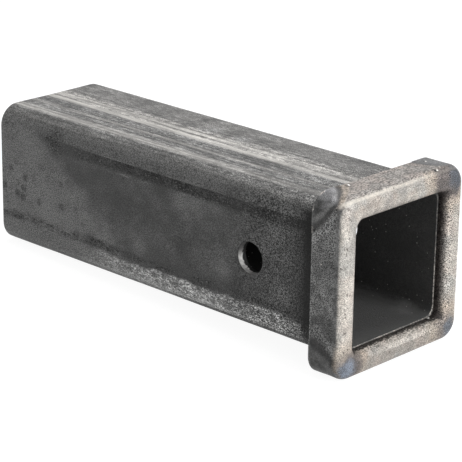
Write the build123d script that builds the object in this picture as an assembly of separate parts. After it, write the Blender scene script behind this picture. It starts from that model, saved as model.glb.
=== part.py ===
from build123d import *
import os

# A weld-on receiver tube: a square steel tube with a pin hole through both
# side walls, and a pressed steel collar that strengthens its front end.
# Millimetres. +X leaves the opening, +Z is up. The origin is on the pin
# hole's axis, at the middle of the tube.

# Tube
tube_width = 76.2  # outside, 3 inches square
tube_wall = 5.9
tube_corner_radius = 11.0  # outside corner
overall_length = 249.0  # collar's front face to the tube's rear end
pin_hole_diameter = 16.4  # takes a 5/8 inch hitch pin
pin_to_front = 64.6  # pin hole's axis to the collar's front face

# Collar, pressed from plate
collar_plate = 6.4  # thickness of the plate
collar_clearance = 1.0  # gap between the tube and the collar's flange
collar_depth = 19.0  # front face to the flange's rear edge
collar_corner_radius = 10.5  # outside corner, seen from the front
collar_bend_radius = 5.6  # outside of the bend from face to flange
opening_lead = 0.5  # the opening stands this far outside the tube's bore
opening_corner_radius = 4.2
opening_rim_radius = 5.2  # rounding where the opening meets the face

# Corner welds, which close the notches between the collar's flanges
notch_reach_front = 6.5  # from the collar's side in to the notch's edge, at the face
notch_reach_rear = 19.0  # the same at the flange's rear edge
notch_side_bow = 0.8  # how far the notch's curved side leaves a straight line
corner_weld_rise = 0.4  # how far the weld stands above the collar

# Seam weld, which joins the collar's rear edge to the tube
seam_weld_leg_tube = 5.0  # along the tube
seam_weld_leg_collar = 3.6  # up the flange's rear edge
seam_weld_crown = 0.7  # how far the bead bulges past a straight fillet

# Places along the tube
front_x = pin_to_front
seat_x = front_x - collar_plate  # the tube's front end, inside the collar
collar_rear_x = front_x - collar_depth
seam_toe_x = collar_rear_x - seam_weld_leg_tube  # the tube is clear behind this
rear_x = front_x - overall_length

# Widths across the tube
bore_width = tube_width - 2 * tube_wall
bore_corner_radius = tube_corner_radius - tube_wall
cavity_width = tube_width + 2 * collar_clearance
cavity_corner_radius = tube_corner_radius + collar_clearance
collar_width = cavity_width + 2 * collar_plate
opening_width = bore_width + 2 * opening_lead


def square_bar(width, corner_radius, start_x, end_x):
    """A bar of rounded square section about the X axis."""
    outline = Plane.YZ.offset(start_x) * RectangleRounded(width, width, corner_radius)
    return extrude(outline, amount=end_x - start_x)


def collar_envelope(rise):
    """The collar's outside with no hollow, its sides moved out by rise."""
    block = square_bar(
        collar_width + 2 * rise, collar_corner_radius + rise, collar_rear_x, front_x
    )
    front_edges = block.edges().group_by(Axis.X)[-1]
    return fillet(front_edges, collar_bend_radius + rise)


def collar_hollow():
    """The space inside the collar's flanges, where the tube's end sits."""
    return square_bar(cavity_width, cavity_corner_radius, collar_rear_x, seat_x)


def corner_notch():
    """The notch between the flanges at the +Y, +Z corner: widest at the rear."""
    side = collar_width / 2
    past_side = collar_width
    rear = Vector(collar_rear_x, side - notch_reach_rear)
    front = Vector(front_x, side - notch_reach_front)
    chord = front - rear
    towards_axis = Vector(chord.Y, -chord.X).normalized()
    middle = (rear + front) / 2 + towards_axis * notch_side_bow
    outside = Polyline(front, (front_x, past_side), (collar_rear_x, past_side), rear)
    outline = make_face(Curve() + [ThreePointArc(rear, middle, front), outside])
    beyond_y = extrude(Plane.XY * outline, amount=past_side)
    beyond_z = extrude(Plane.XZ * outline, amount=-past_side)
    return beyond_y & beyond_z


def four_corners(shape):
    """The shape at the +Y, +Z corner and its copies at the other three."""
    left = mirror(shape, about=Plane.XZ)
    return {
        "top_right": shape,
        "top_left": left,
        "bottom_right": mirror(shape, about=Plane.XY),
        "bottom_left": mirror(left, about=Plane.XY),
    }


def with_line_across(shape, line_x):
    """The same solid, its faces divided where the plane at line_x crosses them."""
    halves = split(shape, bisect_by=Plane.YZ.offset(line_x), keep=Keep.BOTH)
    skin = [face for face in halves.faces() if abs(face.center().X - line_x) > 0.01]
    return Solid(Shell(skin))


def make_tube():
    """The walls are divided at the seam weld's toe, ahead of which they are covered."""
    tube = square_bar(tube_width, tube_corner_radius, rear_x, seat_x)
    tube -= square_bar(bore_width, bore_corner_radius, rear_x, seat_x)
    pin_path = extrude(
        Plane.XZ * Circle(pin_hole_diameter / 2), amount=tube_width, both=True
    )
    return with_line_across(tube - pin_path, seam_toe_x)


def make_collar():
    collar = collar_envelope(0) - collar_hollow()
    collar -= square_bar(opening_width, opening_corner_radius, seat_x, front_x)
    front_edges = collar.edges().group_by(Axis.X)[-1]
    rim = [
        edge
        for edge in front_edges
        if max(abs(edge.center().Y), abs(edge.center().Z)) <= opening_width / 2 + 0.01
    ]
    collar = fillet(rim, opening_rim_radius)
    for notch in four_corners(corner_notch()).values():
        collar -= notch
    return collar


def make_corner_welds():
    """Each weld fills its notch and stands a little above the flanges."""
    weld = (collar_envelope(corner_weld_rise) & corner_notch()) - collar_hollow()
    return four_corners(weld)


def make_seam_weld():
    """A convex fillet run all round the tube, against the collar's rear edge."""
    half = tube_width / 2
    toe = (seam_toe_x, half)
    top = (collar_rear_x, half + collar_clearance + seam_weld_leg_collar)
    root = (collar_rear_x, half)
    chord = Vector(*top) - Vector(*toe)
    outward = Vector(-chord.Y, chord.X).normalized()
    crown = (Vector(*toe) + Vector(*top)) / 2 + outward * seam_weld_crown
    bead = make_face(
        Curve() + [Line(root, toe), ThreePointArc(toe, crown, top), Line(top, root)]
    )
    path = Plane.YZ.offset(collar_rear_x) * RectangleRounded(
        tube_width, tube_width, tube_corner_radius
    )
    return sweep(Plane.XZ * bead, path=path.wire())


def save(shape, node):
    export_step(shape, f"parts/{node}.step")


os.makedirs("parts", exist_ok=True)
save(make_tube(), "square_tube")
save(make_collar(), "front_collar")
for corner, weld in make_corner_welds().items():
    save(weld, f"corner_weld_{corner}")
save(make_seam_weld(), "seam_weld")
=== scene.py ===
import math
from collections import namedtuple
from types import SimpleNamespace

import bmesh
import bpy
from mathutils import Matrix, Vector, noise


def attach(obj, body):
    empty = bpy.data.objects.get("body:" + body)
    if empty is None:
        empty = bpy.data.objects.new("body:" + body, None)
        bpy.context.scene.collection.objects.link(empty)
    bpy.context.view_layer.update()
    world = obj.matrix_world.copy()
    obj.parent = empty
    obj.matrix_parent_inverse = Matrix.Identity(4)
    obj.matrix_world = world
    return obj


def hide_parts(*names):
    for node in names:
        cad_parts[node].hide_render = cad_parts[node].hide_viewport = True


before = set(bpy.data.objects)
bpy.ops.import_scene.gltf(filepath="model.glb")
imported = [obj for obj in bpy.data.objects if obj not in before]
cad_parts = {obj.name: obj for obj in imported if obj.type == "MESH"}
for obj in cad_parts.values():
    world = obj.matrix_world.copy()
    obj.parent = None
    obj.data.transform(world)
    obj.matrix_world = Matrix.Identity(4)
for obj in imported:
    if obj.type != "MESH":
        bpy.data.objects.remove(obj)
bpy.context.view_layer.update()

# The looks of a weld-on receiver tube. Lengths are in millimetres in the
# functions below, and turn into metres where a mesh is made.

MM = 0.001

# Sizes shared with the solids
TUBE_HALF = 38.1
TUBE_RADIUS = 11.0
WALL = 5.9
BORE_HALF = TUBE_HALF - WALL
BORE_RADIUS = TUBE_RADIUS - WALL
PIN_RADIUS = 8.2
FRONT_X = 64.6
SEAT_X = 58.2
FLANGE_REAR_X = 45.6
REAR_X = -184.4
COLLAR_HALF = 45.5
COLLAR_RADIUS = 10.5
CAVITY_HALF = 39.1
CAVITY_RADIUS = 12.0
BEND_RADIUS = 5.6
RIM_RADIUS = 5.2
OPENING_HALF = 32.7
OPENING_RADIUS = 4.2
NOTCH_REAR = 26.5
NOTCH_FRONT = 39.0
NOTCH_BOW = 0.8
WELD_RISE = 0.4
SEAM_LEG_TUBE = 5.0
SEAM_LEG_COLLAR = 3.6
SEAM_CROWN = 0.7

# Broken edges: how far they are cut back, and each part of a normal that faces aslant
EDGE = 0.5
SLANTED = 0.7


# Meshes

def rounded_square(half, radius, side_steps, corner_steps):
    """Points (y, z) and outward normals round a square with rounded corners."""
    points = []
    normals = []
    reach = half - radius
    for side in range(4):
        angle = side * math.pi / 2
        out = (math.cos(angle), math.sin(angle))
        along = (-out[1], out[0])
        for step in range(side_steps):
            shift = reach * (2 * step / side_steps - 1)
            points.append((out[0] * half + along[0] * shift, out[1] * half + along[1] * shift))
            normals.append(out)
        for step in range(corner_steps):
            turn = angle + math.pi / 2 * step / corner_steps
            normal = (math.cos(turn), math.sin(turn))
            centre = ((out[0] + along[0]) * reach, (out[1] + along[1]) * reach)
            points.append((centre[0] + normal[0] * radius, centre[1] + normal[1] * radius))
            normals.append(normal)
    return points, normals


def ring_faces(loops, around):
    """Faces between loops of points, the last loop joined to the first."""
    faces = []
    for row in range(loops):
        below = row * around
        above = (row + 1) % loops * around
        for col in range(around):
            beside = (col + 1) % around
            faces.append((below + col, below + beside, above + beside, above + col))
    return faces


def capped_faces(loops, around):
    """A cap on the first loop of points and on the last, and the faces between loops."""
    last = (loops - 1) * around
    caps = [tuple(range(around)), tuple(range(last, last + around))]
    return caps + ring_faces(loops, around)[:last]


def new_object(name, data):
    made = bpy.data.objects.new(name, data)
    bpy.context.scene.collection.objects.link(made)
    return made


def mesh_from(name, vertices, faces):
    """A mesh from points in millimetres, with its faces turned outward."""
    mesh = bpy.data.meshes.new(name)
    mesh.from_pydata([(x * MM, y * MM, z * MM) for x, y, z in vertices], [], faces)
    work = bmesh.new()
    work.from_mesh(mesh)
    bmesh.ops.recalc_face_normals(work, faces=work.faces)
    work.to_mesh(mesh)
    work.free()
    return mesh


def ring_loft(name, profile, side_steps, corner_steps, relief):
    """A closed square ring. profile is a loop of (x, half, radius, nx, nr), where nx and
    nr are the normal along X and outward. relief says how far a point moves along it."""
    vertices = []
    for x, half, radius, nx, nr in profile:
        points, normals = rounded_square(half, radius, side_steps, corner_steps)
        for (y, z), (ny, nz) in zip(points, normals):
            normal = (nx, nr * ny, nr * nz)
            shift = relief(x, y, z, normal)
            vertices.append((x + normal[0] * shift, y + normal[1] * shift, z + normal[2] * shift))
    around = 4 * (side_steps + corner_steps)
    return mesh_from(name, vertices, ring_faces(len(profile), around))


def run(start, end, pitch, nx, nr):
    """Profile points from start up to but not including end, each (x, half, radius)."""
    length = math.dist(start[:2], end[:2])
    steps = max(1, round(length / pitch))
    points = []
    for step in range(steps):
        share = step / steps
        x, half, radius = (a + (b - a) * share for a, b in zip(start, end))
        points.append((x, half, radius, nx, nr))
    return points


def bend(centre, size, start, end, pitch):
    """Profile points round an arc of that size about centre, which is (x, half, radius).
    Angles are from outward towards +X."""
    x, half, radius = centre
    steps = max(2, round(size * abs(end - start) / pitch))
    points = []
    for step in range(steps):
        angle = start + (end - start) * step / steps
        nx = math.sin(angle)
        nr = math.cos(angle)
        points.append((x + size * nx, half + size * nr, radius + size * nr, nx, nr))
    return points


def wave(x, y, z, size, seed):
    """Smooth noise from -1 to 1 whose lumps are about size across."""
    return noise.noise(Vector((x / size + seed, y / size - seed, z / size + seed * 0.5)))


def apply_boolean(piece, cutter, operation):
    """Cuts or keeps what the cutter covers, and leaves a plain mesh."""
    modifier = piece.modifiers.new("cut", "BOOLEAN")
    modifier.operation = operation
    modifier.solver = "EXACT"
    modifier.object = cutter
    bpy.context.view_layer.update()
    graph = bpy.context.evaluated_depsgraph_get()
    result = bpy.data.meshes.new_from_object(piece.evaluated_get(graph))
    if not result.polygons:
        raise RuntimeError("the cut left nothing of " + piece.name)
    piece.modifiers.clear()
    old = piece.data
    piece.data = result
    bpy.data.meshes.remove(old)


def remove(piece):
    mesh = piece.data
    bpy.data.objects.remove(piece)
    bpy.data.meshes.remove(mesh)


def shade(piece, degrees=40):
    """Smooth shading, with creases left sharp."""
    work = bmesh.new()
    work.from_mesh(piece.data)
    limit = math.radians(degrees)
    for face in work.faces:
        face.smooth = True
    for edge in work.edges:
        edge.smooth = len(edge.link_faces) == 2 and edge.calc_face_angle(0) < limit
    work.to_mesh(piece.data)
    work.free()


# The tube

def tube_relief(x, y, z, normal):
    """Mill steel is never quite flat: shallow hollows, and a slight dip along each wall."""
    if normal[0] != 0 or max(abs(y), abs(z)) < BORE_HALF + 1:
        return 0.0
    flat_half = 27.0
    dip_depth = 0.14
    kept_inside = 0.08  # so that no crest stands out of the solid
    dip = -dip_depth * math.cos(min(1.0, min(abs(y), abs(z)) / flat_half) * math.pi / 2)
    broad = 0.07 * wave(x, y, z, 34, 3)
    fine = 0.03 * wave(x, y, z, 9, 7)
    return dip + broad + fine - kept_inside


def tube_mesh():
    side_steps = 34
    corner_steps = 12
    outer_pitch = 1.7
    bore_pitch = 4
    end_pitch = 2
    edge_pitch = 1
    lip = 0.3
    # The section's corners, each with the pitch and the normal of the run to the next
    corners = (
        ((REAR_X + EDGE, TUBE_HALF, TUBE_RADIUS), outer_pitch, 0, 1),
        ((SEAT_X - EDGE, TUBE_HALF, TUBE_RADIUS), edge_pitch, SLANTED, SLANTED),
        ((SEAT_X, TUBE_HALF - EDGE, TUBE_RADIUS - EDGE), end_pitch, 1, 0),
        ((SEAT_X, BORE_HALF + lip, BORE_RADIUS + lip), edge_pitch, SLANTED, -SLANTED),
        ((SEAT_X - lip, BORE_HALF, BORE_RADIUS), bore_pitch, 0, -1),
        ((REAR_X + lip, BORE_HALF, BORE_RADIUS), edge_pitch, -SLANTED, -SLANTED),
        ((REAR_X, BORE_HALF + lip, BORE_RADIUS + lip), end_pitch, -1, 0),
        ((REAR_X, TUBE_HALF - EDGE, TUBE_RADIUS - EDGE), edge_pitch, -SLANTED, SLANTED),
    )
    profile = []
    for index, (start, pitch, nx, nr) in enumerate(corners):
        end = corners[(index + 1) % len(corners)][0]
        profile += run(start, end, pitch, nx, nr)
    return ring_loft("tube", profile, side_steps, corner_steps, tube_relief)


def pin_cutter():
    """The pin's path through both walls, a little wider where the edges are broken."""
    sides = 72
    beyond = 44
    wide = PIN_RADIUS + EDGE
    stations = [
        (-beyond, wide),
        (-TUBE_HALF, wide),
        (-TUBE_HALF + EDGE, PIN_RADIUS),
        (TUBE_HALF - EDGE, PIN_RADIUS),
        (TUBE_HALF, wide),
        (beyond, wide),
    ]
    vertices = []
    for y, radius in stations:
        for step in range(sides):
            angle = 2 * math.pi * step / sides
            vertices.append((radius * math.cos(angle), y, radius * math.sin(angle)))
    faces = capped_faces(len(stations), sides)
    return new_object("pin_cutter", mesh_from("pin_cutter", vertices, faces))


def make_tube():
    piece = new_object("tube_body", tube_mesh())
    cutter = pin_cutter()
    apply_boolean(piece, cutter, "DIFFERENCE")
    remove(cutter)
    shade(piece)
    return piece


# The collar and its corner welds

def notch_edge(x):
    """How far from the axis the notch starts, at a place along X."""
    share = (x - FLANGE_REAR_X) / (FRONT_X - FLANGE_REAR_X)
    bow = NOTCH_BOW * 4 * share * (1 - share)
    return NOTCH_REAR + (NOTCH_FRONT - NOTCH_REAR) * share - bow


# The groove round each corner weld: on the flange it runs where the lesser of |y| and |z| is
# start + back * (slope + back * curve), back being the distance from the flange's rear edge.
# sunk is how deep it is, and dark how strongly painted shade darkens it.
Groove = namedtuple("Groove", "start slope curve sunk dark")
GROOVES = {
    "top_right": Groove(25.5, 0.0, 0.03, 0.10, 0.40),
    "top_left": Groove(28.0, 0.55, 0.045, 0.75, 0.75),
    "bottom_right": Groove(26.0, 0.15, 0.02, 0.12, 0.45),
    "bottom_left": Groove(26.0, 0.15, 0.02, 0.30, 0.60),
}
GROOVE_SLANT = 0.8  # the groove runs aslant, so the distance across it is less than |y| or |z| says


def groove_at(y, z):
    upper = "top" if z > 0 else "bottom"
    return GROOVES[upper + ("_right" if y > 0 else "_left")]


def faces_outward(x, y, z, normal):
    """Whether a point is on the collar's outside: its sides, its bend or its face."""
    margin = 0.2
    if normal[0] < -0.5 or normal[1] * y + normal[2] * z < 0:
        return False
    return max(abs(y), abs(z)) > CAVITY_HALF + margin or x > SEAT_X + margin


def before_bend(x):
    """1 on the flange, fading to 0 where the bend to the face begins to show."""
    fade_start = 53.0
    fade_length = 7.5
    share = min(1.0, max(0.0, (x - fade_start) / fade_length))
    return 1 - share * share * (3 - 2 * share)


def hump(value, centre, width):
    """1 at the centre, and next to nothing at twice the width from it."""
    return math.exp(-(((value - centre) / width) ** 2))


def corner_relief(x, y, z):
    """The groove, the bead's ridge and hollow inside it, and the plate ground down beside it."""
    groove = groove_at(y, z)
    back = x - FLANGE_REAR_X
    climb = back * (groove.slope + back * groove.curve)
    across = (min(abs(y), abs(z)) - groove.start - climb) * GROOVE_SLANT
    line = -hump(across, 0.0, 1.7)
    ridge = 0.42 * hump(across, 4.2, 2.3)
    hollow = -0.6 * hump(across, 8.0, 2.6)
    ground = -0.3 * hump(across, -4.0, 2.5)
    return groove.sunk * (line + ridge + hollow + ground) * before_bend(x)


def plate_relief(x, y, z, normal):
    """The plate's outside is slightly uneven, and grooved round the corner welds."""
    if not faces_outward(x, y, z, normal):
        return 0.0
    kept_inside = 0.09
    uneven = 0.06 * wave(x, y, z, 16, 11) + 0.03 * wave(x, y, z, 4, 5) - kept_inside
    return corner_relief(x, y, z) + uneven


def weld_relief(x, y, z, normal):
    """A weld is ground flush with the plate beside it."""
    if not faces_outward(x, y, z, normal):
        return 0.0
    return plate_relief(x, y, z, normal) - WELD_RISE * (1 - normal[0])


def collar_mesh(name, rise, relief):
    """The whole collar with no notch cut yet, its outside moved out by rise."""
    side_steps = 124
    corner_steps = 29
    pitch = 0.58
    seat_pitch = 2
    cavity_pitch = 3
    rear_pitch = 1.5
    edge_pitch = 1
    half = COLLAR_HALF + rise
    radius = COLLAR_RADIUS + rise
    size = BEND_RADIUS + rise
    bend_x = FRONT_X - size
    rim_half = OPENING_HALF + RIM_RADIUS
    rim_radius = OPENING_RADIUS + RIM_RADIUS
    rim_x = FRONT_X - RIM_RADIUS
    quarter = math.pi / 2
    flange_rear = (FLANGE_REAR_X + EDGE, half, radius)
    flange_front = (bend_x, half, radius)
    face_outer = (FRONT_X, half - size, radius - size)
    face_inner = (FRONT_X, rim_half, rim_radius)
    opening_front = (rim_x, OPENING_HALF, OPENING_RADIUS)
    opening_rear = (SEAT_X, OPENING_HALF, OPENING_RADIUS)
    seat_outer = (SEAT_X, CAVITY_HALF, CAVITY_RADIUS)
    cavity_rear = (FLANGE_REAR_X, CAVITY_HALF, CAVITY_RADIUS)
    rear_edge = (FLANGE_REAR_X, half - EDGE, radius - EDGE)
    profile = run(flange_rear, flange_front, pitch, 0, 1)
    profile += bend((bend_x, half - size, radius - size), size, 0, quarter, pitch)
    profile += run(face_outer, face_inner, pitch, 1, 0)
    profile += bend((rim_x, rim_half, rim_radius), RIM_RADIUS, quarter, 2 * quarter, pitch)
    profile += run(opening_front, opening_rear, pitch, 0, -1)
    profile += run(opening_rear, seat_outer, seat_pitch, -1, 0)
    profile += run(seat_outer, cavity_rear, cavity_pitch, 0, -1)
    profile += run(cavity_rear, rear_edge, rear_pitch, -1, 0)
    profile += run(rear_edge, flange_rear, edge_pitch, -SLANTED, SLANTED)
    return ring_loft(name, profile, side_steps, corner_steps, relief)


def notch_cutter(sign_y, sign_z):
    """The space of one corner's notch, run on past the collar on every side."""
    far = 60.0
    slices = 20
    start = FLANGE_REAR_X - 1
    end = FRONT_X + 1
    vertices = []
    for step in range(slices + 1):
        x = start + (end - start) * step / slices
        near = notch_edge(x)
        for y, z in ((near, near), (far, near), (far, far), (near, far)):
            vertices.append((x, sign_y * y, sign_z * z))
    faces = capped_faces(slices + 1, 4)
    return new_object("notch_cutter", mesh_from("notch_cutter", vertices, faces))


CORNERS = {
    "top_right": (1, 1),
    "top_left": (-1, 1),
    "bottom_right": (1, -1),
    "bottom_left": (-1, -1),
}


def make_collar_and_welds():
    """The collar with its notches cut, and in each notch the weld that fills it."""
    collar = new_object("collar_body", collar_mesh("collar", 0.0, plate_relief))
    welds = {}
    for corner, (sign_y, sign_z) in CORNERS.items():
        cutter = notch_cutter(sign_y, sign_z)
        apply_boolean(collar, cutter, "DIFFERENCE")
        raised = collar_mesh("raised_" + corner, WELD_RISE, weld_relief)
        weld = new_object("weld_" + corner, raised)
        apply_boolean(weld, cutter, "INTERSECT")
        remove(cutter)
        shade(weld)
        welds[corner] = weld
    shade(collar)
    return collar, welds


# The seam weld

def seam_section():
    """The bead's section as (x, distance out of the tube, share of the way up the bead),
    from its toe on the tube up to the collar, and then its root, which has no share."""
    steps = 10
    clearance = 1.0
    lean_back = 0.68
    lean_out = 0.73
    section = []
    for step in range(steps + 1):
        share = step / steps
        back = SEAM_LEG_TUBE * (1 - share)
        out = SEAM_LEG_COLLAR * share + clearance * share
        swell = SEAM_CROWN * 4 * share * (1 - share)
        section.append((FLANGE_REAR_X - back - swell * lean_back, out + swell * lean_out, share))
    section.append((FLANGE_REAR_X, 0.0, None))
    return section


def seam_ripple(index, share):
    """How far a point of the bead stands out. The ripples are bowed along the bead."""
    points_each = 5.0
    bow = 0.9
    height = 0.16
    sink = 0.1
    phase = 2 * math.pi * (index / points_each + bow * (share - 0.5) ** 2 * 4)
    return height * math.sin(phase) * math.sin(math.pi * share) - sink


def make_seam_weld():
    """A rippled bead round the tube, behind the collar."""
    side_steps = 60
    corner_steps = 20
    crease = 60
    backward = 0.5
    section = seam_section()
    vertices = []
    for x, out, share in section:
        half = TUBE_HALF + out
        points, normals = rounded_square(half, TUBE_RADIUS + out, side_steps, corner_steps)
        on_bead = share is not None and 0 < share < 1
        for index, ((y, z), (ny, nz)) in enumerate(zip(points, normals)):
            ripple = seam_ripple(index, share) if on_bead else 0.0
            vertices.append((x - ripple * backward, y + ny * ripple, z + nz * ripple))
    faces = ring_faces(len(section), 4 * (side_steps + corner_steps))
    piece = new_object("seam_bead", mesh_from("seam_bead", vertices, faces))
    shade(piece, crease)
    return piece


# Small balls of weld metal that stuck to the collar: x, y, z and size
SPATTER = (
    (48.4, -23.4, 45.3, 0.85),
    (61.3, 26.2, 44.6, 0.85),
    (59.0, 27.8, -32.4, 0.8),
    (52.2, -45.2, 12.6, 0.6),
    (50.3, 31.4, 45.3, 0.6),
    (62.1, 6.5, -44.3, 0.5),
)


def make_spatter():
    """Each ball is lumpy, and flattened against the surface that it sits on."""
    lump_size = 0.7
    lump_height = 0.1
    squash = 0.5
    work = bmesh.new()
    for x, y, z, size in SPATTER:
        made = bmesh.ops.create_icosphere(work, subdivisions=3, radius=size * MM)
        flat = Vector((1, 1, squash)) if abs(z) > abs(y) else Vector((1, squash, 1))
        for vertex in made["verts"]:
            near_x, near_y, near_z = (part / MM for part in vertex.co)
            lump = 1 + lump_height * wave(near_x + x, near_y, near_z, lump_size, x)
            vertex.co = vertex.co * flat * lump + Vector((x, y, z)) * MM
    mesh = bpy.data.meshes.new("spatter")
    work.to_mesh(mesh)
    work.free()
    piece = new_object("weld_spatter", mesh)
    shade(piece)
    return piece


# Materials

class Graph:
    """Short calls for building a node material in millimetres. A mask is 1 where it holds
    and 0 elsewhere. colour is what the layers have painted so far."""

    def __init__(self, name):
        self.material = bpy.data.materials.new(name)
        self.material.use_nodes = True
        self.tree = self.material.node_tree
        self.shader = self.tree.nodes["Principled BSDF"]
        self.colour = None
        place = self.node("ShaderNodeTexCoord")
        scale = self.node("ShaderNodeVectorMath", operation="SCALE")
        self.link(place.outputs["Object"], scale.inputs[0])
        scale.inputs["Scale"].default_value = 1 / MM
        self.place = scale.outputs[0]
        self.x, self.y, self.z = self.parts_of(self.place)
        facing = self.node("ShaderNodeNewGeometry")
        self.nx, self.ny, self.nz = self.parts_of(facing.outputs["Normal"])

    def node(self, kind, **settings):
        made = self.tree.nodes.new(kind)
        for name, value in settings.items():
            setattr(made, name, value)
        return made

    def link(self, start, end):
        self.tree.links.new(start, end)

    def parts_of(self, vector):
        parts = self.node("ShaderNodeSeparateXYZ")
        self.link(vector, parts.inputs[0])
        return parts.outputs

    def feed(self, socket, value):
        if isinstance(value, (int, float)):
            socket.default_value = value
        elif isinstance(value, tuple):
            socket.default_value = (*value, 1) if len(socket.default_value) == 4 else value
        else:
            self.link(value, socket)

    def math(self, operation, first, second=0):
        made = self.node("ShaderNodeMath", operation=operation)
        self.feed(made.inputs[0], first)
        self.feed(made.inputs[1], second)
        return made.outputs[0]

    def add(self, first, second):
        return self.math("ADD", first, second)

    def minus(self, first, second):
        return self.math("SUBTRACT", first, second)

    def absolute(self, value):
        return self.math("ABSOLUTE", value)

    def chain(self, operation, result, *others):
        for other in others:
            result = self.math(operation, result, other)
        return result

    def both(self, *masks):
        """The product of masks and strengths."""
        return self.chain("MULTIPLY", *masks)

    def either(self, *masks):
        """The largest of some masks."""
        return self.chain("MAXIMUM", *masks)

    def step(self, value, low, high, to_low=0, to_high=1):
        """A smooth step from to_low at low to to_high at high."""
        made = self.node("ShaderNodeMapRange", interpolation_type="SMOOTHSTEP")
        for socket, given in zip(made.inputs, (value, low, high, to_low, to_high)):
            self.feed(socket, given)
        return made.outputs[0]

    def band(self, value, centre, width, soft):
        """1 inside a band, fading to 0 over soft on each side."""
        away = self.absolute(self.minus(value, centre))
        return self.step(away, width / 2, width / 2 + soft, 1, 0)

    def texture(self, kind, moved, scale):
        """A texture node that reads the place, scaled and moved."""
        mapping = self.node("ShaderNodeMapping")
        self.link(self.place, mapping.inputs["Vector"])
        mapping.inputs["Location"].default_value = moved
        mapping.inputs["Scale"].default_value = scale
        made = self.node(kind)
        self.link(mapping.outputs[0], made.inputs["Vector"])
        made.inputs["Scale"].default_value = 1.0
        return made

    def noise(self, size, detail=3, rough=0.55, stretch=(1, 1, 1), shift=0):
        """Noise whose lumps are about size across, longer where stretch is above 1."""
        moved = (shift, shift * 0.7, shift * 1.3)
        made = self.texture("ShaderNodeTexNoise", moved, tuple(1 / (size * s) for s in stretch))
        made.inputs["Detail"].default_value = detail
        made.inputs["Roughness"].default_value = rough
        return made.outputs["Fac"]

    def patchy(self, size, low, high, detail=3, rough=0.55, stretch=(1, 1, 1), shift=0,
               faint=0, full=1):
        """Patches of noise: faint where it is at low or beyond, and full at high."""
        return self.step(self.noise(size, detail, rough, stretch, shift), low, high, faint, full)

    def swing(self, texture, reach):
        """A texture as a length, from half the reach below 0 to half of it above."""
        return self.both(self.minus(texture, 0.5), reach)

    def specks(self, size, reach, shift=0):
        """Scattered dots: 1 at a dot's middle, 0 outside reach, a share of the size."""
        core = 0.4
        made = self.texture("ShaderNodeTexVoronoi", (shift,) * 3, (1 / size,) * 3)
        return self.step(made.outputs["Distance"], reach * core, reach, 1, 0)

    def spot(self, centre, inner, outer, wobble=None):
        """1 within inner of a place, fading to 0 at outer."""
        made = self.node("ShaderNodeVectorMath", operation="DISTANCE")
        self.link(self.place, made.inputs[0])
        made.inputs[1].default_value = centre
        distance = made.outputs["Value"]
        if wobble is not None:
            distance = self.add(distance, wobble)
        return self.step(distance, inner, outer, 1, 0)

    def furthest_out(self):
        """The larger of the distances from the tube's axis along Y and along Z."""
        return self.either(self.absolute(self.y), self.absolute(self.z))

    def at_corner(self, part):
        """One part of a Groove, for the corner that a point is nearest to."""
        given = {corner: getattr(groove, part) for corner, groove in GROOVES.items()}
        left = self.step(self.z, -1, 1, given["bottom_left"], given["top_left"])
        right = self.step(self.z, -1, 1, given["bottom_right"], given["top_right"])
        return self.step(self.y, -1, 1, left, right)

    def across_groove(self):
        """Distance from the groove: above 0 on the weld's side, below 0 on the plate's."""
        least = self.math("MINIMUM", self.absolute(self.y), self.absolute(self.z))
        back = self.minus(self.x, FLANGE_REAR_X)
        slope = self.add(self.at_corner("slope"), self.both(back, self.at_corner("curve")))
        line = self.add(self.at_corner("start"), self.both(back, slope))
        return self.both(self.minus(least, line), GROOVE_SLANT)

    def blend(self, factor, first, second):
        made = self.node("ShaderNodeMix", data_type="RGBA")
        self.feed(made.inputs["Factor"], factor)
        self.feed(made.inputs["A"], first)
        self.feed(made.inputs["B"], second)
        return made.outputs["Result"]

    def vary(self, colour, texture, amount, low=0.36, high=0.64):
        """The colour made darker or lighter by up to amount, as the texture says."""
        factor = self.step(texture, low, high, 1 - amount, 1 + amount)
        made = self.node("ShaderNodeVectorMath", operation="SCALE")
        self.feed(made.inputs[0], colour)
        self.link(factor, made.inputs["Scale"])
        return made.outputs[0]

    def paint(self, tone, *masks):
        """A layer of a grey level or a colour, as strong as all the masks together."""
        if isinstance(tone, float):
            tone = grey(tone)
        self.colour = self.blend(self.both(*masks), self.colour, tone)

    def finish(self, roughness, metallic, height, depth, specular=0.5):
        """depth is the bump's depth in millimetres."""
        self.feed(self.shader.inputs["Specular IOR Level"], specular)
        self.feed(self.shader.inputs["Base Color"], self.colour)
        self.feed(self.shader.inputs["Roughness"], roughness)
        self.feed(self.shader.inputs["Metallic"], metallic)
        bump = self.node("ShaderNodeBump")
        bump.inputs["Strength"].default_value = 1.0
        bump.inputs["Distance"].default_value = depth * MM
        self.link(height, bump.inputs["Height"])
        self.link(bump.outputs[0], self.shader.inputs["Normal"])
        return self.material


def grey(level):
    """Steel grey, a trace warmer than neutral."""
    return (level, level, level * 0.985)


# Mill scale on the tube, one function for each layer

def tube_places(g):
    """Parts of the tube as masks, and the textures that several layers share."""
    out = g.furthest_out()
    outside = g.step(out, 33.5, 36.5)
    return SimpleNamespace(
        out=out,
        outside=outside,
        top=g.both(g.step(g.nz, 0.45, 0.95), outside),
        side=g.both(g.step(g.absolute(g.ny), 0.6, 0.9), outside),
        cloud=g.noise(24, 5, 0.62, (1.6, 1, 1)),
        patches=g.noise(9, 5, 0.7, (1.5, 1, 1), 31),
        grain=g.noise(0.55, 2, 0.6),
        striation=g.noise(2.2, 4, 0.7, (22, 1, 1), 13),
        specked=g.patchy(1.3, 0.36, 0.56, 4, 0.8, shift=29, faint=0.55),
        ragged=g.swing(g.noise(7, 5, 0.75, shift=12), 20),
        frayed=g.swing(g.noise(5, 5, 0.75, shift=12), 13),
    )


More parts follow.
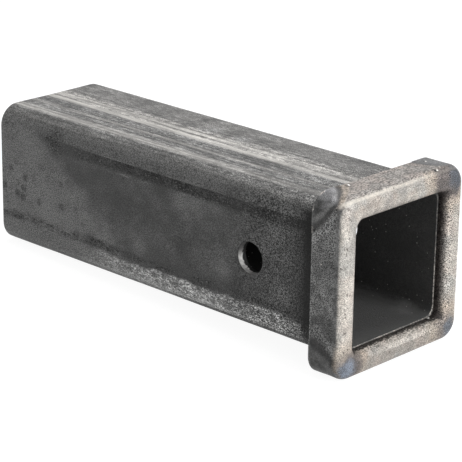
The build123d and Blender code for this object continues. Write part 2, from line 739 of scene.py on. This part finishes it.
def bare_scale(g, on):
    """Dark scale with cloudy patches, and finer ones in them."""
    g.colour = g.blend(g.step(on.cloud, 0.38, 0.6), grey(0.055), grey(0.094))
    g.colour = g.vary(g.colour, on.patches, 0.3)


def rear_of_side(g, on):
    """Pale with spots behind a ragged slanting line, dark ahead of it. Returns the spots."""
    line_x = -157.0
    line_z = 28.0
    along = g.both(g.add(g.x, -line_x), 0.61)
    up = g.both(g.minus(g.z, line_z), 0.79)
    past_line = g.add(g.add(along, up), on.ragged)
    rear = g.both(g.step(past_line, 10, -8), on.side)
    g.paint(0.152, rear, g.step(on.patches, 0.3, 0.55, 0.5, 0.9))
    ahead = g.band(past_line, 28, 18, 24)
    g.paint(0.045, ahead, on.side, 0.35)
    spots = g.both(g.specks(8, 0.42, 5), rear, g.band(g.z, -2, 18, 6), on.specked, 0.7)
    g.paint(0.05, spots)
    return spots


def frost_round_hole(g, on):
    """Paler, rough scale from the pin hole on."""
    frost = g.patchy(3.2, 0.5, 0.64, 5, 0.8, shift=17)
    g.paint(0.15, g.step(g.x, -28, 2), frost, on.side, 0.4)


def roll_mark(g, on):
    """A pale, flaked corner, a broken line under it, and a dark band, which is returned."""
    line_z = 28.3
    row_z = 21.6
    corner = g.both(g.step(g.z, 27.8, 29.6), g.step(g.nz, 0.97, 0.6), on.outside)
    g.paint(0.11, corner, 0.75)
    flakes = g.patchy(1.1, 0.45, 0.38, 3, 0.75, shift=45)
    flaked = g.patchy(14, 0.5, 0.62, 3, 0.6, shift=46)
    g.paint(0.03, flakes, flaked, corner, 0.9)
    along = g.both(g.step(g.x, -150, -105), on.side)
    burnt = g.patchy(15, 0.36, 0.56, 4, 0.7, (2, 1, 1), 41, faint=0.55)
    foot = g.add(g.z, g.both(on.ragged, 0.16))
    dark = g.both(g.step(g.z, 28.6, 27.6), g.step(foot, 20.5, 24), along, burnt, on.specked)
    g.paint(0.015, dark)
    broken = g.patchy(9, 0.34, 0.5, 3, 0.6, (4, 1, 1))
    fading = g.step(g.x, -35, -50, 0.15, 0.4)
    g.paint(0.24, g.band(g.z, line_z, 0.3, 0.4), along, broken, fading)
    broken = g.patchy(5, 0.5, 0.66, 4, 0.7, (3, 1, 1), 6)
    g.paint(0.22, g.band(g.z, row_z, 0.4, 0.9), along, broken, 0.5)
    return dark


def worn_band(g, on):
    """Steel worn pale low on the side, and painted shade on the underside. Returns the dark edge
    over it and the shaded underside.
    """
    edge_z = -21.0
    foot_z = -32.4
    ragged_z = g.add(g.z, g.swing(g.noise(24, 4, 0.65, (1.6, 1, 1), 5), 9))
    broken = g.patchy(6, 0.38, 0.58, 4, 0.75, (2.5, 1, 1), 4)
    near_side = g.step(g.ny, -0.5, -0.9)
    edge = g.both(g.band(ragged_z, edge_z, 2.2, 2.6), near_side, broken, on.specked)
    g.paint(0.028, edge, 0.85)
    lower = g.both(g.step(ragged_z, -22.8, -25), on.outside, g.step(g.nz, 0.3, -0.1))
    g.paint(0.12, lower, 0.45)
    worn = g.both(lower, g.step(g.x, -135, -65), g.step(g.x, 50, 30))
    speckle = g.patchy(0.8, 0.43, 0.57, 3, 0.75, (2.4, 1, 1), 23, faint=0.2)
    mottle = g.patchy(2.4, 0.4, 0.6, 5, 0.85, (2.2, 1, 1), 2)
    g.paint(0.68, worn, speckle, g.add(g.both(mottle, 0.9), 0.16))
    foot = g.both(g.band(g.z, foot_z, 1, 1.4), on.outside, g.step(g.x, -150, -90))
    g.paint(0.30, foot, 0.45)
    # painted shade: the underside darkened where it faces down
    shaded_underside = g.both(g.step(g.z, -32.8, -34.2), on.outside, g.step(g.x, -110, -20, 0.4, 1))
    g.paint(0.018, shaded_underside, 0.95)
    return edge, shaded_underside


def rubbed_top(g, on):
    """The top is rubbed pale, warm in the middle and dull on the near side, and striated."""
    rub = g.noise(9, 5, 0.65, (4, 1, 1), 7)
    g.paint((0.21, 0.205, 0.198), on.top, g.step(rub, 0.25, 0.7, 0.55, 0.85))
    g.paint((0.40, 0.385, 0.365), g.band(g.y, 3, 10, 2.5), on.top, 0.4)
    g.paint(0.145, g.band(g.y, -9.8, 5, 2.5), on.top, g.step(rub, 0.3, 0.6, 0.4, 0.75))
    g.paint(0.15, g.band(g.y, -20, 4, 2.5), on.top, g.step(rub, 0.3, 0.6, 0.3, 0.6))
    shoulder = g.both(g.band(g.y, -31, 3, 3), g.step(g.nz, 0.5, 0.8), on.outside)
    g.paint(0.11, shoulder, 0.55)
    g.paint(g.vary(g.colour, on.striation, 0.5), on.top, g.step(g.y, 22, 8))
    mottle = g.noise(10, 5, 0.7, (2, 1.2, 1), 51)
    g.paint(g.vary(g.colour, mottle, 0.26), on.top)


# Marks on the tube: how far along it, how far across or up, and their reach
TOP_SMEARS = (
    (-90.4, 6, 5.5), (-90.4, 13, 6.5), (-90.4, 21, 6), (-62, 17, 7),
    (-43, 17, 7), (18, 30, 14), (-184, 26, 12), (-157, -10, 10),
    (-182, -20, 8), (28, -21, 14),
)
TOP_RUBBED = ((-75, 12, 10), (-53, 11, 8))
SIDE_SMEARS = (
    (-141, 27, 10), (-62, 21, 14), (-12, 25, 12), (4, 23, 9),
    (-114, -20.5, 8), (-86, -21, 8), (-8, -20, 10), (-46, -8, 10),
    (-92, 6, 15), (38, 18, 12),
)
SIDE_RUBBED = (
    (-147, -13, 9), (-122, 1, 10), (-102, -13, 9), (-78, -14, 8),
    (-47, 16, 7), (16, 15, 8), (-18, -11, 10), (21, -12, 10),
)
PITS = ((-7.5, -25.9), (-9.7, 11.8), (-70, 0.1), (4, -23), (30, -27))


def on_top(along, across):
    return (along, across, TUBE_HALF)


def on_side(along, up):
    return (along, -TUBE_HALF, up)


def smudges(g, on, places, centre_of, tone, strength):
    """Soft, frayed marks on the tube's top or near side."""
    for along, across, reach in places:
        g.paint(tone, g.spot(centre_of(along, across), 0, reach, on.frayed), strength)


def marks(g, on):
    """Cleaner patches and dark smears, pits in the top, and specks. Returns the specks."""
    pit_z = 38.0
    smudges(g, on, TOP_RUBBED, on_top, 0.4, 0.45)
    smudges(g, on, TOP_SMEARS, on_top, 0.06, 0.6)
    smudges(g, on, SIDE_RUBBED, on_side, 0.165, 0.5)
    smudges(g, on, SIDE_SMEARS, on_side, 0.028, 0.7)
    for x, y in PITS:
        g.paint(0.02, g.spot((x, y, pit_z), 0.5, 1.5))
    dots = g.specks(6, 0.15, 3)
    g.paint(0.02, dots, g.patchy(20, 0.42, 0.58, 2), 0.8)
    return dots


def fine_grain(g, on):
    """Grain everywhere, busier towards the collar and under the roll mark."""
    calm = g.vary(g.colour, on.grain, 0.6, 0.38, 0.62)
    busy = g.vary(g.colour, on.grain, 1.2, 0.43, 0.57)
    busier = g.both(g.step(g.x, -20, 35, 0.1, 1), g.step(g.z, 30.5, 28, 0.4, 1))
    g.colour = g.blend(busier, calm, busy)


def side_chips(g, on, dark_band, dark_edge):
    """Chips and glints in the dark bands, past the hole and in one burst. Returns the chips."""
    burst = g.spot(on_side(-142, 28), 3, 11, on.frayed)
    near_hole = g.both(g.step(g.x, -28, 5), on.side, 0.85)
    zone = g.either(dark_band, burst, near_hole, dark_edge)
    chips = g.both(g.patchy(1.1, 0.5, 0.42, 3, 0.75, (1.3, 1, 1), 52), zone)
    g.paint(0.01, chips, 0.9)
    glints = g.patchy(0.9, 0.57, 0.64, 3, 0.75, (1.5, 1, 1), 53)
    g.paint(0.28, glints, zone, 0.6)
    return chips


def top_grain(g, on):
    """Grain drawn out along the top, and chips by its near edge towards the collar."""
    flat_top = g.both(g.step(g.nz, 0.8, 0.97), on.outside)
    drawn = g.noise(0.8, 3, 0.65, (5, 2, 1), 9)
    g.paint(g.vary(g.colour, drawn, 0.5, 0.38, 0.62), flat_top, g.step(g.y, 8, 16, 1, 0.6))
    near_edge = g.both(g.band(g.y, -19, 20, 8), g.step(g.x, -40, 20))
    chips = g.patchy(1.5, 0.45, 0.38, 3, 0.75, (1.5, 2.4, 1), 33)
    g.paint(0.04, chips, flat_top, g.step(near_edge, 0, 1, 0.12, 0.95))


# Bright lanes along the top: middle, width, soft edge, strength, and share of it by the collar
LANES = (
    (2.8, 2.2, 2.6, 0.5, 0.7),
    (-3.2, 1.6, 2.4, 0.85, 0.7),
    (-15.4, 0.6, 1.4, 0.4, 0.7),
    (-26.2, 2.6, 3, 0.46, 0.4),
)


def bright_lanes(g, on):
    """Polished lanes where the tube slid on its top, each broken up along its length."""
    polished = g.vary((0.58, 0.56, 0.53), on.striation, 0.3)
    for middle, width, soft, strength, by_collar in LANES:
        streak = g.patchy(4, 0.34, 0.6, 4, 0.65, (7, 1, 1), middle, strength * 0.6, strength)
        lane = g.band(g.y, middle, width, soft)
        g.paint(polished, lane, on.top, streak, g.step(g.x, 15, -50, by_collar, 1))


def collar_shadow(g, on):
    """Painted shade: the tube darkened close to the collar, where the collar would shade it.
    Returns where it lies.
    """
    fade = g.add(g.step(g.x, 20, 38, 0, 0.58), g.step(g.x, 32, 37, 0, 0.32))
    beside = g.both(fade, on.outside, g.step(g.nz, 0.8, 0.4))
    # painted shade beside the collar
    g.paint(0.02, beside)
    return beside


def bore_shade_and_gleam(g, on):
    """Painted shade inside, a painted paler floor where it faces up, a painted gleam, and crumbs of
    scale. Returns its painted black middle.
    """
    inside = g.step(on.out, 32.9, 32.5)
    # painted shade darkens the inside, and painted light makes its floor paler where it faces up
    g.paint(0.09, inside, 0.8)
    g.paint(0.2, inside, g.step(g.nz, 0.5, 0.9), 0.8)
    # painted shade, near black, in the middle of the bore
    deep_shade = g.both(inside, g.band(g.x, -62, 38, 20))
    g.paint(0.03, deep_shade)
    # painted highlight: a gleam in the lower corner by the opening
    gleam = g.spot((44, 29, -32.2), 1, 10, on.frayed)
    g.paint(0.3, inside, g.step(g.nz, 0.1, 0.5), gleam, 0.6)
    crumbs = g.specks(3.2, 0.12, 27)
    g.paint((0.75, 0.73, 0.7), inside, crumbs, g.patchy(22, 0.44, 0.56, 2, shift=4))
    return deep_shade


def cut_ends(g):
    """The sawn rear end, and the front end's bright, broken edge inside the opening."""
    sawn = g.vary(grey(0.2), g.noise(0.8, 3, 0.7, (1, 14, 1), 3), 0.45, 0.3, 0.7)
    g.paint(sawn, g.step(g.x, -183.9, -184.2), 0.85)
    broken = g.patchy(1.7, 0.48, 0.56, 4, 0.75, shift=5, faint=0.05)
    lower = g.step(g.z, 20, -20, 0.35, 1)
    g.paint((0.44, 0.41, 0.375), g.step(g.x, 57.7, 57.9), broken, lower)


def pin_hole_wall(g, on):
    """The drilled wall: torn metal with a painted highlight where the light falls on it, and
    painted shade, near black, further in.
    """
    from_axis = g.math("SQRT", g.add(g.both(g.x, g.x), g.both(g.z, g.z)))
    wall = g.step(from_axis, 8.5, 8.3)
    rip = g.noise(2, 4, 0.7, shift=8)
    ripped_out = g.add(on.out, g.swing(rip, 4))
    # painted shade darkens the wall, near black further in
    g.paint(0.02, wall, g.step(on.out, 37.9, 37.5), 0.9)
    g.paint(0.01, wall, g.step(ripped_out, 34.4, 34))
    # painted highlight on the torn metal where the light falls on it
    drilled = g.both(wall, g.step(on.out, 37.6, 37.3), g.step(ripped_out, 34, 34.8))
    torn = g.step(rip, 0.35, 0.6, 0.75, 1)
    lit = g.both(g.step(g.x, 5, -6, 0.35, 1), g.step(g.z, 3.5, -3, 0.2, 1))
    g.paint((0.98, 0.97, 0.95), drilled, torn, lit)


def mill_scale():
    """Hot-rolled steel: dark scale, rubbed streaks along the tube, pits and smears, with painted
    shade in the bore, under the tube and by the collar, and painted highlights in the bore and the
    pin hole.
    """
    g = Graph("mill_scale")
    on = tube_places(g)
    bare_scale(g, on)
    spots = rear_of_side(g, on)
    frost_round_hole(g, on)
    dark_band = roll_mark(g, on)
    dark_edge, shaded_underside = worn_band(g, on)
    rubbed_top(g, on)
    dots = marks(g, on)
    fine_grain(g, on)
    chips = side_chips(g, on, dark_band, dark_edge)
    top_grain(g, on)
    bright_lanes(g, on)
    by_collar = collar_shadow(g, on)
    deep_inside_shade = bore_shade_and_gleam(g, on)
    cut_ends(g)
    pin_hole_wall(g, on)

    height = g.add(g.both(on.grain, 0.8), g.both(on.patches, 0.8))
    height = g.minus(height, g.both(dots, 0.5))
    roughness = g.step(on.cloud, 0.3, 0.7, 0.48, 0.62)
    matt = g.either(chips, g.both(dark_band, 0.6), spots, by_collar)
    unlit = g.either(shaded_underside, deep_inside_shade)
    metallic = g.step(unlit, 0, 0.9, 0.45, 0)
    specular = g.both(g.step(matt, 0, 1, 0.5, 0.08), g.step(unlit, 0, 0.9, 1, 0))
    return g.finish(roughness, metallic, height, 0.34, specular)


# Plate and ground welds on the collar

def collar_places(g):
    """Parts of the collar as masks, and the distance across its corner grooves."""
    out = g.furthest_out()
    rim = g.both(g.step(g.nx, 0.05, 0.4), g.step(out, 40, 38))
    across = g.across_groove()
    return SimpleNamespace(
        out=out,
        across=across,
        front=g.either(g.step(g.nx, 0.45, 0.75), rim),
        top=g.step(g.nz, 0.45, 0.9),
        weld=g.both(g.step(across, -1, 0.6), g.step(g.nx, 0.6, 0.2)),
    )


def plate_colour(g, on):
    """Pressed plate: a pale, blasted face and top, and darker scale on the sides."""
    g.colour = g.blend(g.patchy(10, 0.38, 0.6, 5, 0.65), grey(0.06), grey(0.165))
    dusk = g.spot((53, -45.5, 14), 3, 15)
    g.paint(0.05, dusk, 0.45)
    g.paint((0.267, 0.25, 0.234), on.top)
    far_top = g.step(g.y, 4, 34)
    g.paint((0.17, 0.16, 0.152), far_top, on.top, 0.4)
    g.paint((0.59, 0.552, 0.502), on.front)
    past_left_band = g.step(g.y, -41, -30, 0, 0.5)
    g.paint((0.3, 0.278, 0.25), past_left_band, on.front)
    low_band = g.step(g.z, -31, -37)
    g.paint((0.255, 0.236, 0.213), low_band, on.front, 0.62)
    high_band = g.step(g.z, 37, 40)
    g.paint((0.3, 0.265, 0.235), high_band, on.front, 0.45)
    pink = g.patchy(9, 0.44, 0.62, 3, 0.5, shift=8)
    g.paint((0.40, 0.325, 0.285), pink, g.either(on.front, on.top), 0.3)
    cool = g.patchy(14, 0.46, 0.62, 3, 0.5, shift=19)
    g.paint((0.34, 0.345, 0.335), cool, on.front, 0.5)
    brushed = g.patchy(0.8, 0.42, 0.34, 3, 0.7, (1, 1, 9), 14)
    g.paint((0.2, 0.175, 0.155), brushed, on.front, g.step(g.z, -30, -36), 0.45)
    return g.colour


def weld_colour(g, on):
    """Weld metal dressed with a grinder: dark and mottled, paler where it faces up."""
    g.colour = g.blend(g.patchy(4, 0.4, 0.6, 5, 0.7, shift=2), grey(0.026), grey(0.068))
    g.paint((0.18, 0.18, 0.183), on.top, 0.8)
    g.paint((0.45, 0.42, 0.38), on.front, 0.9)
    scratches = g.noise(1.1, 3, 0.7, (1, 1, 6))
    return g.vary(g.colour, scratches, 0.22, 0.3, 0.7)


def sill_highlight(g):
    """Painted highlight on the rim below the opening, where it turns up towards the light."""
    sill = g.both(g.band(g.nz, 0.34, 0.28, 0.2), g.step(g.z, -33, -34), g.step(g.nx, 0.2, 0.5))
    # painted highlight on the sill
    g.paint((0.6, 0.565, 0.52), sill, g.band(g.y, 4, 10, 18), 0.5)


# Where welding coloured the face: a blue grey core, and round it brown that fades to straw
Heat = namedtuple("Heat", "core core_reach core_colour ring ring_reach ring_strength")
HEAT_PLACES = (
    Heat((63, -38.2, -39), 7.5, (0.2, 0.233, 0.288), (63, -36, -38.2), 10, 0.85),
    Heat((62.5, 38, 39.5), 8, (0.08, 0.092, 0.112), (62.5, 33, 39.5), 13, 0.85),
    Heat((62.5, 38, -38.8), 7.5, (0.13, 0.15, 0.18), (62.5, 35.5, -38), 9.5, 0.6),
)


def heat_tint(g):
    """Oxide colours that welding leaves: blue grey, then brown, then straw."""
    soft = 5.0
    straw_width = 8.0
    ragged = g.swing(g.noise(4, 5, 0.7, shift=21), 8)
    front = g.step(g.nx, 0.1, 0.6)
    for heat in HEAT_PLACES:
        straw = g.spot(heat.ring, heat.ring_reach, heat.ring_reach + straw_width, ragged)
        g.paint((0.36, 0.285, 0.21), straw, front, 0.4)
        brown = g.spot(heat.ring, heat.ring_reach - soft, heat.ring_reach + 1, ragged)
        g.paint((0.09, 0.08, 0.082), brown, front, heat.ring_strength)
        blue = g.spot(heat.core, heat.core_reach - soft, heat.core_reach, ragged)
        g.paint(heat.core_colour, blue, g.step(g.nx, 0, 0.3), 0.85)


def upper_groove(g, on):
    """At the top left: ground plate and warm scale beside the groove, and painted highlights on the
    ridge inside it and on the weld's top.
    """
    corner = g.both(g.step(g.y, 0, -20), g.step(g.z, 10, 22))
    behind_bend = g.step(g.x, 62, 56)
    ground = g.both(g.band(on.across, -3.6, 2.6, 2.2), corner, g.step(g.nx, 0.5, 0.1))
    g.paint(0.235, ground, behind_bend, 0.5)
    warm = g.band(on.across, -3, 2, 2.5)
    g.paint((0.40, 0.325, 0.25), warm, corner, on.top, 0.5)
    # painted highlight on the ridge inside the groove
    ridge = g.band(on.across, 3.4, 0.8, 1.8)
    g.paint(0.24, ridge, corner, behind_bend, 0.4)
    # painted highlight on the weld's top
    gleam = g.band(on.across, 4.5, 2, 3.5)
    g.paint((0.36, 0.355, 0.37), gleam, corner, on.top, behind_bend, 0.4)


def lower_groove(g, on):
    """At the bottom left: painted shade in the groove, a painted highlight on the weld's ridge
    inside it, and paler ground plate outside it.
    """
    corner = g.both(g.step(g.y, 0, -20), g.step(g.z, -10, -22), g.step(g.nx, 0.5, 0.1))
    # painted shade in the groove
    g.paint(0.02, g.band(on.across, 0.5, 1.4, 2.2), corner, 0.75)
    # painted highlight on the weld's ridge
    g.paint(0.13, g.band(on.across, 5, 1, 2.2), corner, 0.4)
    g.paint(0.16, g.band(on.across, -4, 1, 2.4), corner, 0.35)


def crease_and_rear_edge(g, on):
    """Painted shade in every groove, and a painted highlight on the flange's rear edge, low on its
    sides.
    """
    # painted shade along every groove
    crease = g.both(g.band(on.across, 0, 0.8, 1.9), g.step(g.x, 61, 54), g.at_corner("dark"))
    g.paint((0.04, 0.039, 0.038), crease)
    # painted highlight on the flange's rear edge
    rear_edge = g.both(g.step(g.x, 46.6, 46.1), g.step(on.out, 44, 45), g.step(g.nz, 0.5, 0.2))
    g.paint(0.34, rear_edge, g.step(g.z, 25, 5, 0.08, 0.25))


def opening_edge(g, on):
    """Painted shade, near black, inside the opening and on its far rim, and the back of the plate
    darkened.
    """
    fray = g.swing(g.noise(0.9, 4, 0.75, shift=7), 3.4)
    frayed_out = g.add(on.out, fray)
    # painted shade inside the opening's rim, and on its far side below
    g.paint((0.03, 0.025, 0.022), g.step(frayed_out, 33.4, 32.8), 0.95)
    far_rim_shade = g.both(g.step(g.y, 30, 33), g.step(g.ny, 0, -0.4))
    g.paint((0.04, 0.033, 0.03), far_rim_shade, g.step(frayed_out, 34.8, 33.2), 0.75)
    back = g.both(g.step(g.x, 58.4, 58.1), g.step(on.out, 44, 40))
    g.paint(0.07, back, 0.8)


def blasted_grain(g, on, grain):
    """Light on welds, coarse on the plate's sides, drawn across its top, stronger to +Y."""
    light = g.vary(g.colour, grain, 0.4)
    strong = g.vary(g.colour, grain, 0.78)
    coarse = g.vary(g.colour, grain, 0.95, 0.38, 0.62)
    drawn = g.vary(g.colour, g.noise(0.55, 2, 0.5, (1, 2.4, 1), 3), 0.62)
    face = g.blend(g.step(g.y, 0, 30), light, strong)
    face_and_top = g.blend(on.top, face, drawn)
    sides = g.blend(g.step(g.nx, 0, 0.35), coarse, light)
    plate = g.blend(g.either(on.front, on.top), sides, face_and_top)
    g.colour = g.blend(on.weld, plate, light)


def bend_highlight_and_nicks(g):
    """A painted highlight where the bend above the face catches the light, and nicks in the one on
    its left.
    """
    shine = g.both(g.band(g.nz, 0.7, 0.06, 0.16), g.step(g.x, 59, 61), g.step(g.z, 38, 41))
    # painted highlight along the upper bend
    g.paint((0.85, 0.8, 0.72), shine, g.step(g.y, 34, -20, 0.1, 0.5))
    nicks = g.both(g.patchy(2.4, 0.43, 0.37, 3, 0.65, shift=61), g.band(g.y, -41, 1.2, 1.8))
    g.paint((0.12, 0.105, 0.095), nicks, 0.75, g.step(g.nx, 0.2, 0.6))


def specks_and_spatter_shadows(g):
    """A painted shadow beside each ball of spatter, and dark specks."""
    for x, y, z, size in SPATTER:
        # painted shadow beside each ball
        g.paint(0.012, g.spot((x, y - size * 1.6, z), size * 0.7, size * 1.4))
    scattered = g.patchy(13, 0.42, 0.56, 2, shift=3)
    g.paint((0.045, 0.035, 0.03), g.specks(3.6, 0.17, 6), scattered, 0.8)


def dressed_steel(name):
    """Plate on one side of the corner grooves, and ground weld metal on the other, with painted
    shade in the grooves and the opening and painted highlights on ridges, edges, the bend and the
    sill.
    """
    g = Graph(name)
    on = collar_places(g)
    grain = g.noise(0.5, 1, 0.5)
    blotch = g.noise(5, 5, 0.7, shift=27)
    g.colour = g.blend(on.weld, plate_colour(g, on), weld_colour(g, on))
    sill_highlight(g)
    heat_tint(g)
    upper_groove(g, on)
    lower_groove(g, on)
    crease_and_rear_edge(g, on)
    opening_edge(g, on)
    g.colour = g.vary(g.colour, blotch, 0.2, 0.34, 0.66)
    blasted_grain(g, on, grain)
    bend_highlight_and_nicks(g)
    specks_and_spatter_shadows(g)
    height = g.add(g.both(grain, 0.6), g.both(blotch, 0.5))
    return g.finish(g.step(blotch, 0.3, 0.7, 0.46, 0.58), 0.42, height, 0.2)


def weld_bead():
    """An as-welded bead: grey metal with patches of brown oxide."""
    g = Graph("weld_bead")
    patch = g.noise(7, 4, 0.6)
    fine = g.noise(0.8, 3, 0.7)
    g.colour = g.blend(g.step(patch, 0.35, 0.65), (0.17, 0.155, 0.14), (0.10, 0.075, 0.06))
    g.paint((0.3, 0.29, 0.28), g.step(fine, 0.5, 0.8, 0, 0.5))
    height = g.add(g.both(fine, 0.6), g.both(patch, 0.6))
    return g.finish(g.step(patch, 0.3, 0.7, 0.42, 0.6), 0.5, height, 0.1)


def fresh_bead():
    """Spatter froze bright, with a little grey oxide."""
    g = Graph("fresh_bead")
    patch = g.noise(0.9, 3, 0.6)
    g.colour = g.blend(g.step(patch, 0.4, 0.6), (0.86, 0.84, 0.8), (0.45, 0.43, 0.41))
    return g.finish(g.step(patch, 0.3, 0.7, 0.25, 0.4), 0.6, patch, 0.05)


# The floor, the lights and the camera

def on_camera_and_mirrors(tree):
    """1 for rays from the camera, a glossy surface or a transparent one, else 0."""
    path = tree.nodes.new("ShaderNodeLightPath")
    result = path.outputs["Is Camera Ray"]
    for name in ("Is Glossy Ray", "Is Transmission Ray"):
        most = tree.nodes.new("ShaderNodeMath")
        most.operation = "MAXIMUM"
        tree.links.new(result, most.inputs[0])
        tree.links.new(path.outputs[name], most.inputs[1])
        result = most.outputs[0]
    return result


def show_apart(tree, output_kind, as_light, as_seen):
    """One shader for bounced light, and another for what the camera and mirrors see."""
    pick = tree.nodes.new("ShaderNodeMixShader")
    out = tree.nodes.new(output_kind)
    tree.links.new(on_camera_and_mirrors(tree), pick.inputs[0])
    tree.links.new(as_light.outputs[0], pick.inputs[1])
    tree.links.new(as_seen.outputs[0], pick.inputs[2])
    tree.links.new(pick.outputs[0], out.inputs[0])


def matt_shader(tree, level):
    made = tree.nodes.new("ShaderNodeBsdfDiffuse")
    made.inputs["Color"].default_value = (level, level, level, 1)
    return made


def floor_material():
    """Pale grey to light the object, and nearly white to the camera, with its shadow."""
    bounced = 0.8
    shadowed = 0.22
    glow_strength = 0.93
    material = bpy.data.materials.new("floor_white")
    material.use_nodes = True
    tree = material.node_tree
    tree.nodes.clear()
    glow = tree.nodes.new("ShaderNodeEmission")
    glow.inputs["Strength"].default_value = glow_strength
    lit = tree.nodes.new("ShaderNodeAddShader")
    tree.links.new(matt_shader(tree, shadowed).outputs[0], lit.inputs[0])
    tree.links.new(glow.outputs[0], lit.inputs[1])
    show_apart(tree, "ShaderNodeOutputMaterial", matt_shader(tree, bounced), lit)
    return material


def make_floor():
    """The part rests on the tube's rear lower edge and the collar's lowest one."""
    reach = 4000.0
    gap = 0.02
    rear_z = -TUBE_HALF
    front_z = -COLLAR_HALF - WELD_RISE
    slope = (front_z - rear_z) / (FLANGE_REAR_X - REAR_X)
    vertices = []
    for x, y in ((-reach, -reach), (reach, -reach), (reach, reach), (-reach, reach)):
        vertices.append((x, y, rear_z + slope * (x - REAR_X) - gap))
    mesh = bpy.data.meshes.new("floor")
    mesh.from_pydata([(x * MM, y * MM, z * MM) for x, y, z in vertices], [], [(0, 1, 2, 3)])
    mesh.materials.append(floor_material())
    floor = new_object("floor", mesh)


def white_shader(tree, strength):
    made = tree.nodes.new("ShaderNodeBackground")
    made.inputs["Color"].default_value = (1, 1, 1, 1)
    made.inputs["Strength"].default_value = strength
    return made


def make_world():
    """White to the camera and in reflections, and dimmer as a light."""
    room_strength = 0.33
    world = bpy.data.worlds.new("studio")
    world.use_nodes = True
    bpy.context.scene.world = world
    tree = world.node_tree
    tree.nodes.clear()
    room = white_shader(tree, room_strength)
    show_apart(tree, "ShaderNodeOutputWorld", room, white_shader(tree, 1.0))


def add_light(name, place, aim, size, power):
    """A square lamp. place, aim and size are in metres, power in watts."""
    light = bpy.data.lights.new(name, "AREA")
    light.shape = "SQUARE"
    light.size = size
    light.energy = power
    lamp = new_object(name, light)
    lamp.location = place
    lamp.rotation_euler = (Vector(aim) - Vector(place)).to_track_quat("-Z", "Y").to_euler()


def make_lights():
    collar = (0.06, 0, 0)
    middle = (-0.05, 0.0, 0.0)
    add_light("front_softbox", place=(1.5, 0.25, 0.55), aim=collar, size=0.9, power=17.8)
    add_light("top_softbox", place=(-0.1, 0.35, 1.5), aim=middle, size=1.1, power=10.8)


def make_camera():
    """The photograph's camera, fitted to the object's outline. right, up and back are its axes."""
    data = bpy.data.cameras.new("camera")
    data.sensor_width = 36.0
    data.lens = 161.836
    camera = new_object("camera", data)
    right = (0.72091, 0.69290, 0.01373)
    up = (-0.23927, 0.23026, 0.94325)
    back = (0.65042, -0.68328, 0.33179)
    place = (0.642778, -0.726582, 0.345118)
    turn = Matrix((right, up, back)).transposed().to_4x4()
    camera.matrix_world = Matrix.Translation(place) @ turn
    bpy.context.scene.camera = camera


def dress(piece, material, slot, *nodes):
    piece.data.materials.clear()
    piece.data.materials.append(material)
    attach(piece, "root")
    if nodes:
        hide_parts(*nodes)


def main():
    dress(make_tube(), mill_scale(), "mill_scale_steel", "square_tube")
    collar, welds = make_collar_and_welds()
    dress(collar, dressed_steel("collar_steel"), "collar_steel", "front_collar")
    ground_weld = dressed_steel("ground_weld")
    for corner, weld in welds.items():
        dress(weld, ground_weld, "ground_weld_steel", "corner_weld_" + corner)
    dress(make_seam_weld(), weld_bead(), "weld_bead_steel", "seam_weld")
    dress(make_spatter(), fresh_bead(), "weld_bead_steel")
    make_floor()
    make_world()
    make_lights()
    make_camera()
    bpy.context.scene.view_settings.view_transform = "Standard"


main()
